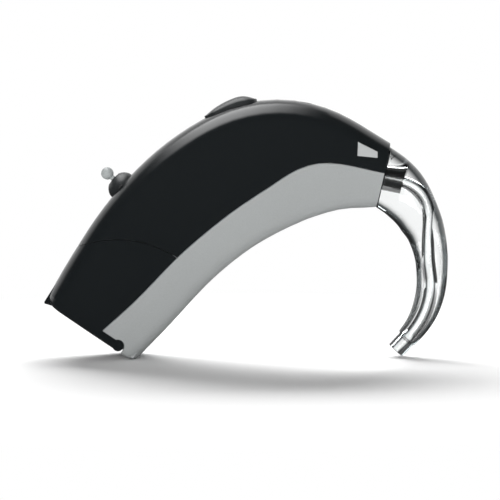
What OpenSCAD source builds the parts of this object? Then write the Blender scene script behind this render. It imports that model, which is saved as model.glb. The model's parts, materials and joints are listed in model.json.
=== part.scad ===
// Behind-the-ear hearing aid, standing on its battery end and on the tip of its ear hook.
// The body is lofted along a bent centre line, in its own flat frame: S runs forward along
// the line from the door's face, N runs out from the ear side to the spine, Y is the width.

/* [Cell] */
// Diameter of the button cell
cell_diameter = 11.6; // [11.2:0.1:11.9]
// Thickness of the button cell
cell_thickness = 5.4; // [5:0.1:5.8]

/* [Body] */
// Length of the body along its centre line
body_length = 46.1; // [45:0.1:50]
// Angle that the centre line bends through, in degrees
body_bend = 69; // [66:0.5:74]
// Greatest depth, from the ear side to the spine
body_depth = 17.6; // [17:0.1:18.6]
// How far the ear side is drawn in ahead of the battery
belly_lift = 0.7; // [0.5:0.1:0.8]
// Depth at the nose
nose_depth = 8.8; // [8.5:0.1:9.8]
// Width at the nose
nose_width = 7.2; // [7:0.1:8]
// Wall of the two shells
wall = 0.85; // [0.75:0.05:0.95]
// Height of the lower shell's side above the ear side
split_height = 5.6; // [5.2:0.1:6]
// Depth of the rounded shoulder beside the spine
shoulder_drop = 2.4; // [2:0.1:2.8]
// Width of the rounded shoulder beside the spine
shoulder_reach = 3.1; // [2.8:0.1:3.3]

/* [Battery door] */
// Thickness of the door's end plate
door_plate = 1.15; // [1:0.05:1.3]
// Radius of the hinge knuckle
knuckle_radius = 0.7; // [0.65:0.05:0.8]
// Radius of the hinge pin
hinge_pin_radius = 0.32; // [0.26:0.02:0.36]
// Height of the hinge pin above the ear side
hinge_rise = 2.9; // [2.7:0.1:3.2]
// How far the finger nail lip stands out behind the end plate
lip_back = 0.35; // [0.2:0.05:0.5]
// How far the spine flares out towards the lip
rear_flare = 0.6; // [0.4:0.1:0.8]

/* [Controls] */
// Length of the program button
button_length = 7; // [6.4:0.1:7.4]
// Width of the program button
button_width = 3.2; // [2.8:0.1:3.4]
// Height of the program button above the spine
button_height = 1.2; // [0.9:0.1:1.4]
// Travel of the program button
button_travel = 0.4; // [0.3:0.05:0.45]
// Radius of the volume control's collar at its foot
collar_radius = 1.9; // [1.8:0.05:2]
// Height of the volume control's collar above the spine
collar_height = 1.4; // [1.2:0.05:1.5]
// Radius of the ball on the volume lever
ball_radius = 0.8; // [0.7:0.05:0.85]
// Reach of the ball's centre above the lever's pin
lever_reach = 2.5; // [2.4:0.1:2.8]
// Tilt of the volume lever each way, in degrees
lever_tilt = 12; // [8:1:14]

/* [Ear hook] */
// Radius of the tubing spigot at the hook's tip
spigot_radius = 1.15; // [1.1:0.05:1.25]
// Length of the tubing spigot
spigot_length = 2.1; // [1.9:0.1:2.2]
// Radius of the sound bore
bore_radius = 0.65; // [0.55:0.05:0.7]
// Radius of the nozzle that the hook turns on
nozzle_radius = 1.5; // [1.4:0.05:1.6]
// Length of the nozzle outside the body
nozzle_length = 2.5; // [2.3:0.1:2.6]
// Straight length of the hook before its first bend
hook_root = 1.5; // [1.2:0.1:1.8]
// Radius of the hook's first bend
root_bend_radius = 5.4; // [5.3:0.05:5.7]
// Straight length of the hook between its bends
hook_middle = 7.5; // [7.2:0.1:8]
// Radius of the hook's long bend
tip_bend_radius = 10.2; // [9.8:0.1:11]

/* [Hidden] */

// Clearances, and the overrun that every cut takes past its face
running_gap = 0.04;
seat_gap = 0.05;
seam_gap = 0.08;
swing_gap = 0.12;
room = 0.3;
overrun = 0.5;

// Shape of the body along its centre line, as shares of the sizes above
turn_shares = [0, 0.03, 0.14, 0.3, 0.54, 0.94, 1];
rise_shares = [0, 0.56, 0.84, 1];
fall_shares = [1, 0.97, 0.58, 0];
lift_shares = [0, 0.2, 0.55, 0.8, 0.85, 1.1, 0.7];
split_shares = [1.05, 0.98, 0.99, 1.03, 1.15, 1.3, 0.9];
taper_start_share = 0.33;
flare_share = 0.2;

// Shape of the section
side_bow = 0.15;
belly_reach = 2.2;
belly_drop = 1.6;
rim_height = 0.6;
rear_round = 0.8;
rear_margin = 1.35;
contact_room = 1.15;
rear_depth = cell_diameter + rear_margin;
rear_width = cell_thickness + 2 * (contact_room + wall);

// How finely the shapes are drawn
path_steps = 140;
shell_steps = 30;
door_steps = 8;
corner_steps = 6;
round_facets = 48;
ball_facets = 40;

// Functions for the centre line and the section
function clamp(f) = min(max(f, 0), 1);
function blend(a, b, f) = a + (b - a) * f;
function ease(f) = clamp(f) * clamp(f) * (3 - 2 * clamp(f));
function curve(a, b, c, d, f) =
    (2 * b + (c - a) * f + (2 * a - 5 * b + 4 * c - d) * f * f
    + (3 * b - a - 3 * c + d) * f * f * f) / 2;
// A smooth curve through values that are evenly spaced from 0 to 1
function through(v, t) =
    let (m = len(v) - 1, u = clamp(t) * m, i = min(floor(u), m - 1))
    curve(i > 0 ? v[i - 1] : 2 * v[0] - v[1], v[i], v[i + 1],
        i + 2 <= m ? v[i + 2] : 2 * v[m] - v[m - 1], u - i);
function heading(t) = -body_bend * through(turn_shares, t);
path = [
    for (i = 0, p = [0, 0];
        i <= path_steps;
        p = p + body_length / path_steps * [cos(heading((i + 0.5) / path_steps)),
            sin(heading((i + 0.5) / path_steps))],
        i = i + 1) p
];
function point(t) =
    let (u = t * path_steps, i = min(max(floor(u), 0), path_steps - 1))
    path[i] + (u - i) * (path[i + 1] - path[i]);
function spot(s, n) =
    let (p = point(s / body_length), h = heading(s / body_length))
    [p[0] - n * sin(h), p[1] + n * cos(h)];
depths = concat(
    [for (f = rise_shares) blend(rear_depth, body_depth, f)],
    [for (i = [1 : len(fall_shares) - 1]) blend(nose_depth, body_depth, fall_shares[i])]);
function depth(t) = through(depths, t);
function half_width(t) =
    blend(rear_width, nose_width, ease((t - taper_start_share) / (1 - taper_start_share))) / 2;
function split(t) = split_height * through(split_shares, t) - depth(t) / 2;
function low(t) = belly_lift * through(lift_shares, t) - depth(t) / 2;
function ear_side(s) = low(s / body_length);
// The spine flares out towards the rear end
function top(t) = depth(t) / 2 + rear_flare * (1 - ease(t / flare_share));
function spine(s) = top(s / body_length);
// Place and heading of the spine itself, which the buttons and ports stand square to
function spine_spot(s) = spot(s, spine(s));
function spine_heading(s) =
    let (step = body_length / path_steps, a = spine_spot(s - step), b = spine_spot(s + step))
    atan2(b[1] - a[1], b[0] - a[0]);

function quarter(cy, cn, ry, rn, a, b, steps) =
    [for (i = [0 : steps]) let (g = blend(a, b, i / steps)) [cy + ry * cos(g), cn + rn * sin(g)]];
function reversed(p) = [for (i = [len(p) - 1 : -1 : 0]) p[i]];
function mirrored(p) = [for (q = p) [-q[0], q[1]]];
function closed(right) = concat(right, mirrored(reversed(right)));
// Right-hand edges of the section, from below upwards, drawn in by the inset
function shoulder(t, inset, steps) =
    quarter(half_width(t) - shoulder_reach, top(t) - shoulder_drop,
        shoulder_reach - inset, shoulder_drop - inset, 0, 90, steps);
function belly(t, inset, steps) =
    quarter(half_width(t) - belly_reach, belly_drop + low(t),
        belly_reach - inset, belly_drop - inset, -90, 0, steps);
function side_point(t, inset, height) = [half_width(t) + side_bow - inset, split(t) + height];
function body_section(t, inset) = closed(concat(
    belly(t, inset, corner_steps), [side_point(t, inset, 0)], shoulder(t, inset, corner_steps)));
// The upper shell is thinned inside along its edge, over the lower shell's rim
function upper_section(t) =
    let (outer = concat([side_point(t, 0, seam_gap / 2)], shoulder(t, 0, corner_steps)),
        inner = concat(
            [side_point(t, wall / 2 - seat_gap / 2, seam_gap / 2),
                side_point(t, wall / 2 - seat_gap / 2, rim_height + seat_gap),
                side_point(t, wall, rim_height + seat_gap)],
            shoulder(t, wall, corner_steps - 2)))
    concat(closed(outer), mirrored(inner), reversed(inner));
function lower_section(t, inset) =
    let (edge = min(inset, wall / 4),
        outer = concat(belly(t, inset, corner_steps), [side_point(t, edge, -seam_gap / 2)]),
        inner = concat(
            belly(t, wall, corner_steps - 2),
            [side_point(t, wall, rim_height), side_point(t, wall / 2 + seat_gap / 2, rim_height),
                side_point(t, wall / 2 + seat_gap / 2, -seam_gap / 2)]))
    concat(mirrored(reversed(outer)), outer, reversed(inner), mirrored(inner));

// Stations along the body, closer together where the rear edge is rounded
rear_shares = [0, 0.12, 0.4, 1];
function rear_inset(s) =
    s >= rear_round ? 0 : rear_round - sqrt(pow(rear_round, 2) - pow(rear_round - s, 2));
function stations(from, to, steps) = [for (i = [0 : steps]) blend(from, to, i / steps)];
shell_stations = concat(
    [for (f = rear_shares) f * rear_round],
    [for (i = [1 : shell_steps]) blend(rear_round, body_length, i / shell_steps)]);

function ring_at(s, section) =
    let (p = point(s / body_length), h = heading(s / body_length))
    [for (q = section) [p[0] - q[1] * sin(h), q[0], p[1] + q[1] * cos(h)]];
// The end of a plain loft is one face, and that of a wall is cut across into short ones
function end_faces(n, wall_like) =
    wall_like
    ? [for (j = [0 : n / 2 - 2], k = [0, 1])
        k == 0 ? [j, j + 1, n - 2 - j] : [j, n - 2 - j, n - 1 - j]]
    : [[for (j = [0 : n - 1]) j]];
function loft_faces(n, m, wall_like) = concat(
    end_faces(n, wall_like),
    [for (f = end_faces(n, wall_like)) [for (j = reversed(f)) (m - 1) * n + j]],
    [for (i = [0 : m - 2], j = [0 : n - 1], k = [0, 1])
        let (a = i * n + j, b = i * n + (j + 1) % n)
        k == 0 ? [a, a + n, b + n] : [a, b + n, b]]);
module loft(rings, wall_like = false) {
    polyhedron(
        points = [for (r = rings, p = r) p],
        faces = loft_faces(len(rings[0]), len(rings), wall_like),
        convexity = 8);
}

// The ear hook's centre line, from the nose face to the tip, with its bends in degrees
root_turn_angle = 71.7;
tip_turn_angle = 48.1;
hook_straight = 2.6;
root_arc = root_bend_radius * root_turn_angle * PI / 180;
tip_arc = tip_bend_radius * tip_turn_angle * PI / 180;
hook_length = hook_root + root_arc + hook_middle + tip_arc + hook_straight;
hook_spans = [hook_root, root_arc, hook_middle, tip_arc, hook_straight];
hook_turns = [0, root_turn_angle, 0, tip_turn_angle, 0];
// Place and heading after going a distance along spans that are straight or evenly bent
function arc_step(at, span, turn) =
    abs(turn) < 0.001
    ? [at[0] + span * cos(at[2]), at[1] + span * sin(at[2]), at[2]]
    : let (r = span / (turn * PI / 180))
        [at[0] + r * (sin(at[2]) - sin(at[2] - turn)),
            at[1] + r * (cos(at[2] - turn) - cos(at[2])), at[2] - turn];
function hook_place(d, at, i = 0) =
    i >= len(hook_spans) - 1 || d <= hook_spans[i]
    ? arc_step(at, d, hook_turns[i] * d / hook_spans[i])
    : hook_place(d - hook_spans[i], arc_step(at, hook_spans[i], hook_turns[i]), i + 1);
nose = concat(spot(body_length, 0), [heading(1)]);
function hook_at(u) = hook_place(u * hook_length, nose);

// The hook's outer edge, inner edge and width along its length, as shares of the nose's,
// and the lean of its sections, as shares of the whole turn
hook_tilt_shares = [0, 0.1, 0.24, 0.4, 0.57, 0.71, 0.86, 1, 1];
hook_outer_shares = [0.9, 0.58, 0.42, 0.53, 0.54, 0.45, 0.38, 0.31, 0.26];
hook_inner_shares = [0.89, 1.08, 0.97, 0.61, 0.42, 0.42, 0.41, 0.35, 0.26];
hook_width_shares = [1, 0.92, 0.8, 0.69, 0.61, 0.56, 0.51, 0.43, 0.33];
hook_steps = 30;
hook_points = 24;
hook_sweep = hook_length - spigot_length;
square_share = 1.5;
function power(v, e) = sign(v) * pow(abs(v), e);
function hook_tilt(u) =
    nose[2] - (root_turn_angle + tip_turn_angle) * min(through(hook_tilt_shares, u), 1);
function hook_out(u) = nose_depth * through(hook_outer_shares, u) / 2;
function hook_in(u) = nose_depth * through(hook_inner_shares, u) / 2;
function hook_ring(u) =
    let (at = hook_at(u), tilt = hook_tilt(u), out = hook_out(u), in = hook_in(u),
        e = 2 / (2 + square_share * pow(1 - clamp(u), 3)),
        a = nose_width * through(hook_width_shares, u) / 2)
    [for (j = [0 : hook_points - 1])
        let (g = 360 * j / hook_points,
            n = (out - in) / 2 + (out + in) / 2 * power(sin(g), e))
        [at[0] - n * sin(tilt), a * power(cos(g), e), at[1] + n * cos(tilt)]];
function round_ring(u, r, points) =
    let (at = hook_at(u))
    [for (j = [0 : points - 1])
        let (n = r * sin(360 * j / points))
        [at[0] - n * sin(at[2]), r * cos(360 * j / points), at[1] + n * cos(at[2])]];

// The feet that the part stands on: the lower shell's rear corner and the spigot's edge
foot = spot(rear_round, rear_round - rear_depth / 2);
lip_rise = 0.2;
tip = hook_at(1);
toe = [tip[0] - spigot_radius * sin(tip[2]), tip[1] + spigot_radius * cos(tip[2])];
stride = norm(toe - foot);
stand_angle = -asin(rear_round / stride) - atan2(toe[1] - foot[1], toe[0] - foot[0]);
function turned(p) = [
    p[0] * cos(stand_angle) - p[1] * sin(stand_angle),
    p[0] * sin(stand_angle) + p[1] * cos(stand_angle)];
lip_tip = [-lip_back, spine(0) + lip_rise];
hook_outer = [
    for (i = [0 : hook_steps])
    let (u = i / hook_steps, at = hook_at(u), tilt = hook_tilt(u))
    turned([at[0] - hook_out(u) * sin(tilt), at[1] + hook_out(u) * cos(tilt)])[0]
];
middle_x = (turned(lip_tip)[0] + max(hook_outer)) / 2;
floor_z = turned(toe)[1];
module stand() {
    translate([-middle_x, 0, -floor_z]) rotate([0, -stand_angle, 0]) children();
}
module at(s, n) {
    p = spot(s, n);
    translate([p[0], 0, p[1]]) rotate([0, -heading(s / body_length), 0]) children();
}
module at_spine(s) {
    p = spine_spot(s);
    translate([p[0], 0, p[1]]) rotate([0, -spine_heading(s), 0]) children();
}
module at_nose() {
    translate([nose[0], 0, nose[1]]) rotate([0, -nose[2], 0]) children();
}
module at_tip() {
    translate([tip[0], 0, tip[1]]) rotate([0, -tip[2], 0]) children();
}
// A cylinder across the width, a rod along S and a post along N, and a block on its centre
module axle(r, length) {
    rotate([90, 0, 0]) cylinder(r = r, h = length, center = true, $fn = round_facets);
}
module rod(r, from, to) {
    translate([from, 0, 0]) rotate([0, 90, 0]) cylinder(r = r, h = to - from, $fn = round_facets);
}
module post(r, from, to) {
    translate([0, 0, from]) cylinder(r = r, h = to - from, $fn = round_facets);
}
module block(s, y, n) {
    translate([s[0], y[0], n[0]]) cube([s[1] - s[0], y[1] - y[0], n[1] - n[0]]);
}
module stadium(length, width) {
    straight = length - width;
    square([straight, width], center = true);
    for (side = [-1, 1])
        translate([side * straight / 2, 0]) circle(d = width, $fn = round_facets);
}
module pill(length, width, from, to) {
    translate([0, 0, from]) linear_extrude(to - from) stadium(length, width);
}

// Places on the body
hinge_s = knuckle_radius;
hinge_n = hinge_rise - rear_depth / 2;
cradle_wall = 0.6;
cell_radius = cell_diameter / 2;
cradle_radius = cell_radius + 2 * running_gap;
cell_s = door_plate + cell_radius + 0.3 * cradle_wall;
cell_n = 0;
door_radius = norm([cell_s - hinge_s, cell_n - hinge_n]) + cell_radius + room;
cell_angle = atan2(cell_n - hinge_n, cell_s - hinge_s);
volume_ahead = 1.84;
front_port_back = 4.3;
port_spacing = 5.8;
button_back = 6.35;
marker_back = 2.66;
volume_s = hinge_s + door_radius + volume_ahead;
front_port_s = body_length - front_port_back;
rear_port_s = front_port_s - port_spacing;
button_s = rear_port_s - button_back;
marker_s = body_length - marker_back;
port_radius = 0.35;
full_width = rear_width + 4 * side_bow;
module at_hinge() {
    translate([hinge_s, 0, hinge_n]) children();
}
module at_cell() {
    translate([cell_s, 0, cell_n]) children();
}

// Hinge lugs on the lower shell, between the door's knuckles
lug_width = 1.3;
lug_place = 1.9;
module lug_places() {
    for (side = [-1, 1]) translate([0, side * lug_place, 0]) children();
}

// The side marker tapers towards the nose, between the spine and the seam
marker_length = 2.6;
marker_height = 1.7;
marker_end_height = 0.75;
marker_rise = 2.9;
marker_step = 0.28;
marker_slant = 0.32;
module marker_prism(grow) {
    low = -marker_height / 2 - grow;
    at(marker_s, marker_rise) rotate([90, 0, 0])
        linear_extrude(full_width)
            polygon([
                [(marker_slant - marker_length) / 2 - grow, low],
                [marker_length / 2 + marker_slant / 4 + grow, low + marker_step],
                [marker_length / 2 - marker_slant / 4 + grow,
                    low + marker_step + marker_end_height + 2 * grow],
                [-(marker_slant + marker_length) / 2 - grow, marker_height / 2 + grow]]);
}
marker_depth = 0.62;
marker_face = half_width(marker_s / body_length) - marker_depth;

// Casing
port_counter = 0.8;
screen_thickness = 0.15;
screen_depth = 0.3;
module upper_shell() {
    color([0.1, 0.12, 0.13]) stand() difference() {
        loft([for (s = stations(0.1 * body_length, body_length, shell_steps))
            ring_at(s, upper_section(s / body_length))], true);
        at_hinge() axle(door_radius + seam_gap, full_width + overrun);
        at_spine(button_s)
            pill(button_length + 2 * seam_gap, button_width + 2 * seam_gap, -4 * wall, 4 * wall);
        at_spine(volume_s) post(collar_radius + seat_gap, -4 * wall, 4 * wall);
        for (s = [rear_port_s, front_port_s]) at_spine(s) {
            post(port_radius, -4 * wall, 4 * wall);
            post(port_counter, -screen_depth, overrun);
        }
        intersection() {
            marker_prism(seat_gap);
            translate([0, -full_width - marker_face + seat_gap, 0])
                block([0, 2 * body_length], [0, full_width], [-2 * body_length, 2 * body_length]);
        }
    }
}

// The frame's screws stand near the ends of the space between the bulkhead and the receiver
screw_shares = [0.22, 0.98];
screw_rise = 2.6;
screw_radius = 0.45;
screw_head_radius = 0.8;
frame_plate = 0.55;
frame_y = 2.05;
boss_radius = 0.9;
module screw_sites() {
    for (f = screw_shares)
        at(core(f), screw_rise + ear_side(core(f))) children();
}
foot_length = 1.5;
module lower_shell() {
    inner = rear_width / 2 - wall;
    belly_n = wall - rear_depth / 2;
    color([0.66, 0.68, 0.68]) stand() {
        difference() {
            union() {
                loft([for (s = shell_stations)
                    ring_at(s, lower_section(s / body_length, rear_inset(s)))], true);
                block([rear_round / 2, foot_length], [-inner - wall / 2, inner + wall / 2],
                    [belly_n - wall / 2, hinge_n]);
                intersection() {
                    screw_sites() translate([0, frame_y + frame_plate + seat_gap, 0])
                        rotate([-90, 0, 0]) cylinder(r = boss_radius, h = wall * 2,
                            $fn = round_facets);
                    loft([for (s = stations(0.35 * body_length, 0.8 * body_length, 8))
                        ring_at(s, body_section(s / body_length, wall / 2))]);
                }
            }
            at_hinge() axle(knuckle_radius + swing_gap, full_width + overrun);
            block([-overrun, door_plate + seam_gap], [-full_width, full_width],
                [hinge_n, hinge_n + rear_depth]);
            block([-overrun, hinge_s], [-full_width, full_width],
                [hinge_n - knuckle_radius - swing_gap, hinge_n + overrun]);
            screw_sites() rotate([-90, 0, 0])
                post(screw_radius + seat_gap, 0, frame_y + frame_plate + wall);
        }
        difference() {
            lug_places() {
                at_hinge() axle(knuckle_radius - seat_gap, lug_width);
                block([hinge_s - knuckle_radius / 2, hinge_s + knuckle_radius - seat_gap],
                    [-lug_width / 2, lug_width / 2],
                    [hinge_n - knuckle_radius - 2 * swing_gap, hinge_n]);
            }
            at_hinge() axle(hinge_pin_radius, full_width);
        }
    }
}

module side_marker() {
    color([0.66, 0.67, 0.67]) stand() intersection() {
        loft([for (s = stations(0.84 * body_length, body_length, 8))
            ring_at(s, body_section(s / body_length, 0))]);
        marker_prism(0);
        translate([0, -full_width - marker_face, 0])
            block([0, 2 * body_length], [0, full_width], [-2 * body_length, 2 * body_length]);
    }
}

// Battery door and what it carries
lip_width = 4.2;
lip_length = 2.4;
lip_edge = 0.15;
lip_depth = 1.3;
module battery_door() {
    crest = spine(0);
    color([0.1, 0.12, 0.13]) stand() difference() {
        union() {
            intersection() {
                loft([for (s = stations(rear_round, door_radius + 3 * wall, door_steps))
                    ring_at(s, upper_section(s / body_length))], true);
                at_hinge() axle(door_radius, full_width + overrun);
            }
            intersection() {
                loft([for (s = concat([for (f = rear_shares) f * rear_round], [door_plate]))
                    ring_at(s, body_section(s / body_length, rear_inset(s)))]);
                block([0, door_plate], [-full_width, full_width], [hinge_n, rear_depth]);
            }
            at_hinge() axle(knuckle_radius, rear_width - seat_gap);
            rotate([90, 0, 0]) linear_extrude(lip_width, center = true) polygon([
                [seat_gap, crest - lip_depth], [-lip_back, crest + lip_rise - lip_edge],
                [lip_edge - lip_back, crest + lip_rise],
                [lip_length, spine(lip_length) - seat_gap], [lip_length, crest - wall],
                [door_plate, crest - lip_depth]]);
            intersection() {
                difference() {
                    at_cell() axle(cradle_radius + cradle_wall, cell_thickness - 2 * seat_gap);
                    at_cell() axle(cradle_radius, cell_thickness + overrun);
                }
                at_hinge() axle(door_radius - room - cradle_wall, full_width);
            }
        }
        lug_places() at_hinge() axle(knuckle_radius + swing_gap, lug_width + 2 * swing_gap);
        at_hinge() translate([0, wall / 2, 0])
            axle(hinge_pin_radius + running_gap, rear_width - wall);
    }
}
module battery_cell() {
    rim = 0.4;
    cap_step = 0.7;
    color([0.75, 0.76, 0.78]) stand() at_cell() rotate([90, 0, 0]) rotate_extrude($fn = round_facets)
        polygon([
            [0, -cell_thickness / 2],
            [cell_radius - rim, -cell_thickness / 2],
            [cell_radius, rim - cell_thickness / 2],
            [cell_radius, cell_thickness / 2 - cap_step],
            [cell_radius - rim, cell_thickness / 2 - rim],
            [cell_radius - 2 * cap_step, cell_thickness / 2 - rim],
            [cell_radius - 2 * cap_step, cell_thickness / 2],
            [0, cell_thickness / 2]]);
}
module hinge_pin() {
    color([0.8, 0.8, 0.8]) stand() at_hinge() axle(hinge_pin_radius, rear_width - 3 * wall);
}

// Frame inside the casing
frame_edge = 1.3;
frame_lap = 1.6;
frame_back = 2.1;
bulkhead = 0.7;
shelf_drop = 4.55;
shelf_length = 3.6;
shelf_reach = 1.4;
bulkhead_s = hinge_s + door_radius + room + bulkhead;
module frame_band(from, to, low, high) {
    lower = [for (s = stations(from, to, 14)) spot(s, low + ear_side(s))];
    upper = [for (s = stations(from, to, 14)) spot(s, spine(s) - high)];
    polygon(concat(lower, reversed(upper)));
}
module chassis_frame() {
    color([0.2, 0.2, 0.22]) stand() difference() {
        union() {
            difference() {
                translate([0, frame_y + frame_plate, 0]) rotate([90, 0, 0])
                    linear_extrude(frame_plate)
                        frame_band(bulkhead_s - frame_lap, body_length - frame_back,
                            wall + frame_edge, wall + frame_edge);
                at_hinge() axle(door_radius + room, full_width);
            }
            intersection() {
                loft([for (s = stations(0.1 * body_length, 0.42 * body_length, 10))
                    ring_at(s, body_section(s / body_length, wall + seat_gap))]);
                difference() {
                    at_hinge() axle(door_radius + room + bulkhead, full_width);
                    at_hinge() axle(door_radius + room, full_width + overrun);
                }
                at_hinge() rotate([0, -cell_angle, 0])
                    block([0, 2 * door_radius], [-full_width, full_width],
                        [-door_radius, 0.82 * door_radius]);
            }
            at_spine(button_s)
                block([-shelf_length / 2, shelf_length / 2],
                    [-shelf_reach, frame_y + frame_plate / 2],
                    [-shelf_drop - bulkhead, -shelf_drop]);
        }
        screw_sites() axle(screw_radius + seat_gap, 2 * (frame_y + frame_plate + overrun));
        for (side = [-1, 1]) contact_leaf(side, seat_gap);
    }
}
module frame_screws() {
    color([0.7, 0.7, 0.7]) stand() screw_sites() rotate([-90, 0, 0]) {
        translate([0, 0, frame_y - screw_head_radius / 2])
            cylinder(r = screw_head_radius, h = screw_head_radius / 2, $fn = round_facets);
        translate([0, 0, frame_y - seat_gap])
            cylinder(r = screw_radius, h = frame_plate + wall, $fn = round_facets);
    }
}

// Contact springs, each a leaf against one face of the cell
leaf_thickness = 0.2;
leaf_width = 1.4;
leaf_reach = 4.5;
leaf_tail = 0.4;
// Angle of each leaf from the line between hinge and cell, in degrees
leaf_angle = 8;
module contact_leaf(side, grow) {
    y = cell_thickness / 2 + running_gap + leaf_thickness / 2;
    at_hinge() rotate([0, -cell_angle - side * leaf_angle, 0]) translate([0, side * y, 0])
        block([door_radius - leaf_reach - grow, door_radius + room + bulkhead + leaf_tail + grow],
            [-leaf_thickness / 2 - grow, leaf_thickness / 2 + grow],
            [-leaf_width / 2 - grow, leaf_width / 2 + grow]);
}
module plus_contact() {
    color([0.85, 0.7, 0.35]) stand() contact_leaf(-1, 0);
}
module minus_contact() {
    color([0.85, 0.7, 0.35]) stand() contact_leaf(1, 0);
}

// Program button and its switch
button_flange = 0.3;
flange_drop = 1.35;
flange_thickness = 0.4;
stem_radius = 0.8;
stem_length = 0.5;
switch_size = [3.4, 2.6, 1.4];
plunger_radius = 0.6;
plunger_height = 0.4;
module program_button() {
    crown = (pow(button_length / 2, 2) + pow(button_height, 2)) / (2 * button_height);
    color([0.12, 0.13, 0.14]) stand() at_spine(button_s) {
        intersection() {
            pill(button_length, button_width, -flange_drop - flange_thickness / 2, button_height);
            translate([0, 0, button_height - crown]) union() {
                axle(crown, full_width);
                block([-button_length, button_length], [-full_width, full_width],
                    [-2 * crown, crown - button_height - wall / 2]);
            }
        }
        pill(button_length + 2 * button_flange, button_width + 2 * button_flange,
            -flange_drop - flange_thickness, -flange_drop);
        post(stem_radius, -flange_drop - flange_thickness - stem_length,
            -flange_drop - flange_thickness / 2);
    }
}
module program_switch() {
    face = -flange_drop - flange_thickness - stem_length - button_travel - running_gap;
    color([0.5, 0.5, 0.52]) stand() at_spine(button_s) {
        post(plunger_radius, face - 1.5 * plunger_height, face);
        block([-switch_size[0] / 2, switch_size[0] / 2], [-switch_size[1] / 2, switch_size[1] / 2],
            [-shelf_drop, face - plunger_height]);
    }
}

// Volume control
collar_depth = 1.6;
hub_radius = 0.75;
hub_width = 1.2;
neck_radius = 0.34;
lever_pin_radius = 0.3;
lever_pin_drop = 0.1;
tail_length = 2.2;
collar_slot = 2 * (hub_radius + 2 * running_gap);
module at_lever() {
    at_spine(volume_s) translate([0, 0, -lever_pin_drop]) children();
}
// Steps of the collar's rounded crown, as shares of its radius and of its height
collar_shares = [[1, 0.05], [0.97, 0.25], [0.9, 0.45], [0.79, 0.65], [0.65, 0.82], [0.5, 0.94], [0.35, 1]];
module volume_collar() {
    color([0.11, 0.12, 0.13]) stand() difference() {
        at_spine(volume_s) rotate_extrude($fn = round_facets) polygon(concat(
            [[0, -collar_depth], [collar_radius, -collar_depth]],
            [for (f = collar_shares) [f[0] * collar_radius, f[1] * collar_height]],
            [[0, collar_height]]));
        at_lever() {
            block([-collar_slot / 2, collar_slot / 2],
                [-hub_width / 2 - seat_gap, hub_width / 2 + seat_gap],
                [-collar_depth - overrun, collar_height + overrun]);
            axle(lever_pin_radius, 2 * collar_radius);
        }
    }
}
module volume_lever() {
    color([0.72, 0.74, 0.74]) stand() at_lever() difference() {
        union() {
            axle(hub_radius, hub_width);
            post(neck_radius, -tail_length, lever_reach);
            translate([0, 0, lever_reach]) sphere(r = ball_radius, $fn = ball_facets);
        }
        axle(lever_pin_radius + running_gap, hub_width + overrun);
    }
}
module lever_pin() {
    color([0.8, 0.8, 0.8]) stand() at_lever() axle(lever_pin_radius, 2 * collar_radius - wall);
}
sensor_size = [3.6, 2.8, 1.5];
module volume_sensor() {
    slot = 2 * (tail_length * tan(lever_tilt) + neck_radius + 2 * running_gap);
    face = -collar_depth - swing_gap;
    color([0.35, 0.36, 0.38]) stand() at_spine(volume_s) difference() {
        block([-sensor_size[0] / 2, sensor_size[0] / 2], [-sensor_size[1] / 2, sensor_size[1] / 2],
            [face - sensor_size[2], face]);
        block([-slot / 2, slot / 2], [-neck_radius - seat_gap, neck_radius + seat_gap],
            [-lever_pin_drop - tail_length - running_gap * 3, face + overrun]);
    }
}

// Microphones at the two ports in the spine
mic_size = [3.4, 2.6, 1.3];
mic_drop = 0.9;
boot_radius = 0.75;
module microphone(s) {
    stand() at_spine(s) translate([0, 0, -wall - mic_drop])
        block([-mic_size[0] / 2, mic_size[0] / 2], [-mic_size[1] / 2, mic_size[1] / 2],
            [-mic_size[2], 0]);
}
module front_microphone() {
    color([0.78, 0.78, 0.74]) microphone(front_port_s);
}
module rear_microphone() {
    color([0.78, 0.78, 0.74]) microphone(rear_port_s);
}
module microphone_boots() {
    color([0.25, 0.25, 0.27]) stand() for (s = [rear_port_s, front_port_s])
        at_spine(s) translate([0, 0, -wall - mic_drop]) difference() {
            post(boot_radius, 0, mic_drop - 2 * seat_gap);
            post(port_radius, -overrun, mic_drop + overrun);
        }
}
module microphone_screens() {
    color([0.45, 0.46, 0.48]) stand() for (s = [rear_port_s, front_port_s])
        at_spine(s) post(port_counter - seat_gap, -screen_depth, screen_thickness - screen_depth);
}

// Sizes of the receiver, measured back from the nose
receiver_size = [7.9, 3.2, 3.8];
receiver_from = 4.7;
boot_wall = 0.4;
receiver_s = body_length - receiver_from - receiver_size[0] - boot_wall;

// Electronics, placed as shares of the space between the bulkhead and the receiver
function core(f) = blend(bulkhead_s, receiver_s, f);
board_shares = [0.33, 0.91];
board_thickness = 0.6;
board_rise = 3.25;
board_drop = 5.8;
board_y = frame_y - seat_gap - board_thickness;
chip_share = 0.585;
chip_length_share = 0.27;
chip_height = 4;
chip_thickness = 1;
chip_drop = 1.2;
coil_share = 0.34;
coil_radius = 1;
coil_length = 6;
module circuit_board() {
    color([0.1, 0.35, 0.2]) stand() translate([0, board_y + board_thickness, 0])
        rotate([90, 0, 0]) linear_extrude(board_thickness)
            frame_band(core(board_shares[0]), core(board_shares[1]), board_rise, board_drop);
}
module processor_chip() {
    length = chip_length_share * (receiver_s - bulkhead_s);
    color([0.08, 0.08, 0.09]) stand() at(core(chip_share), -chip_drop)
        block([-length / 2, length / 2], [board_y - chip_thickness, board_y],
            [-chip_height / 2, chip_height / 2]);
}
module telecoil() {
    color([0.7, 0.4, 0.2]) stand() at(core(coil_share), -chip_drop)
        translate([0, board_y - coil_radius, 0]) {
            post(0.7 * coil_radius, -coil_length / 2, coil_length / 2);
            for (side = [-1, 1])
                post(coil_radius, side * 0.42 * coil_length - 0.08 * coil_length,
                    side * 0.42 * coil_length + 0.08 * coil_length);
            post(0.85 * coil_radius, -0.4 * coil_length, 0.4 * coil_length);
        }
}

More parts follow.
